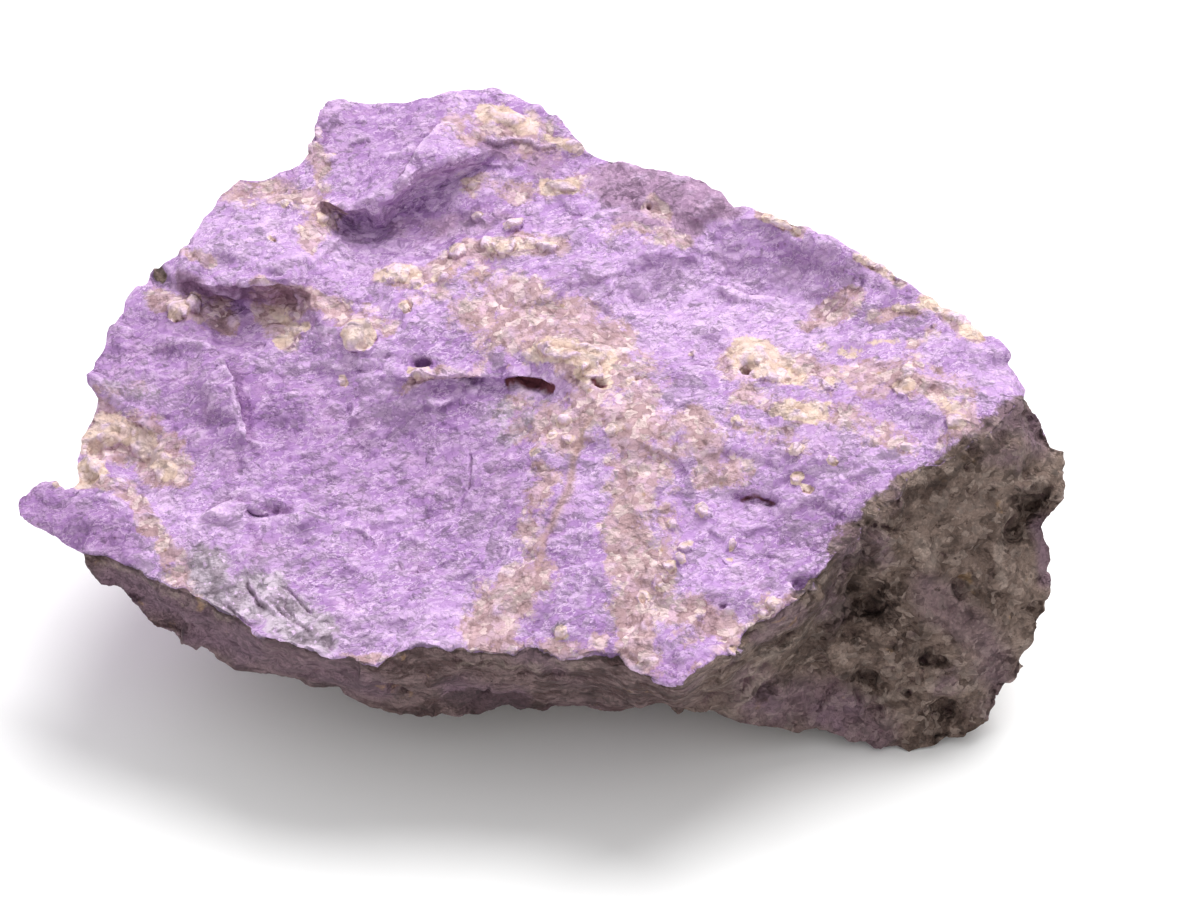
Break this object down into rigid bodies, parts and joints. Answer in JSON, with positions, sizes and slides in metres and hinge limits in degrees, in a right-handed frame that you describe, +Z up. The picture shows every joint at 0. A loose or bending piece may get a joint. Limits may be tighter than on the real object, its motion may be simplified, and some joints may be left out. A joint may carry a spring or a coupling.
{
  "type": "rough phosphosiderite stone",
  "caption": "Rough lilac mineral lump: broad fractured face with stepped blocks and scoops, sharp rim, pitted brown crust at one end.",
  "frame": {"origin": "bottom centre of the bounding box, on the table that the stone rests on", "axes": "+X along the length, from the left tip to the thick right end; +Y away from the viewer; +Z up"},
  "size_m": [0.1277, 0.0898, 0.0514],
  "materials": {
    "lilac_stone": "matte fractured stone, lilac with cream and tan patches and a brown crust"
  },
  "bodies": {
    "root": {"rough_stone": "lilac_stone"}
  },
  "joints": []
}
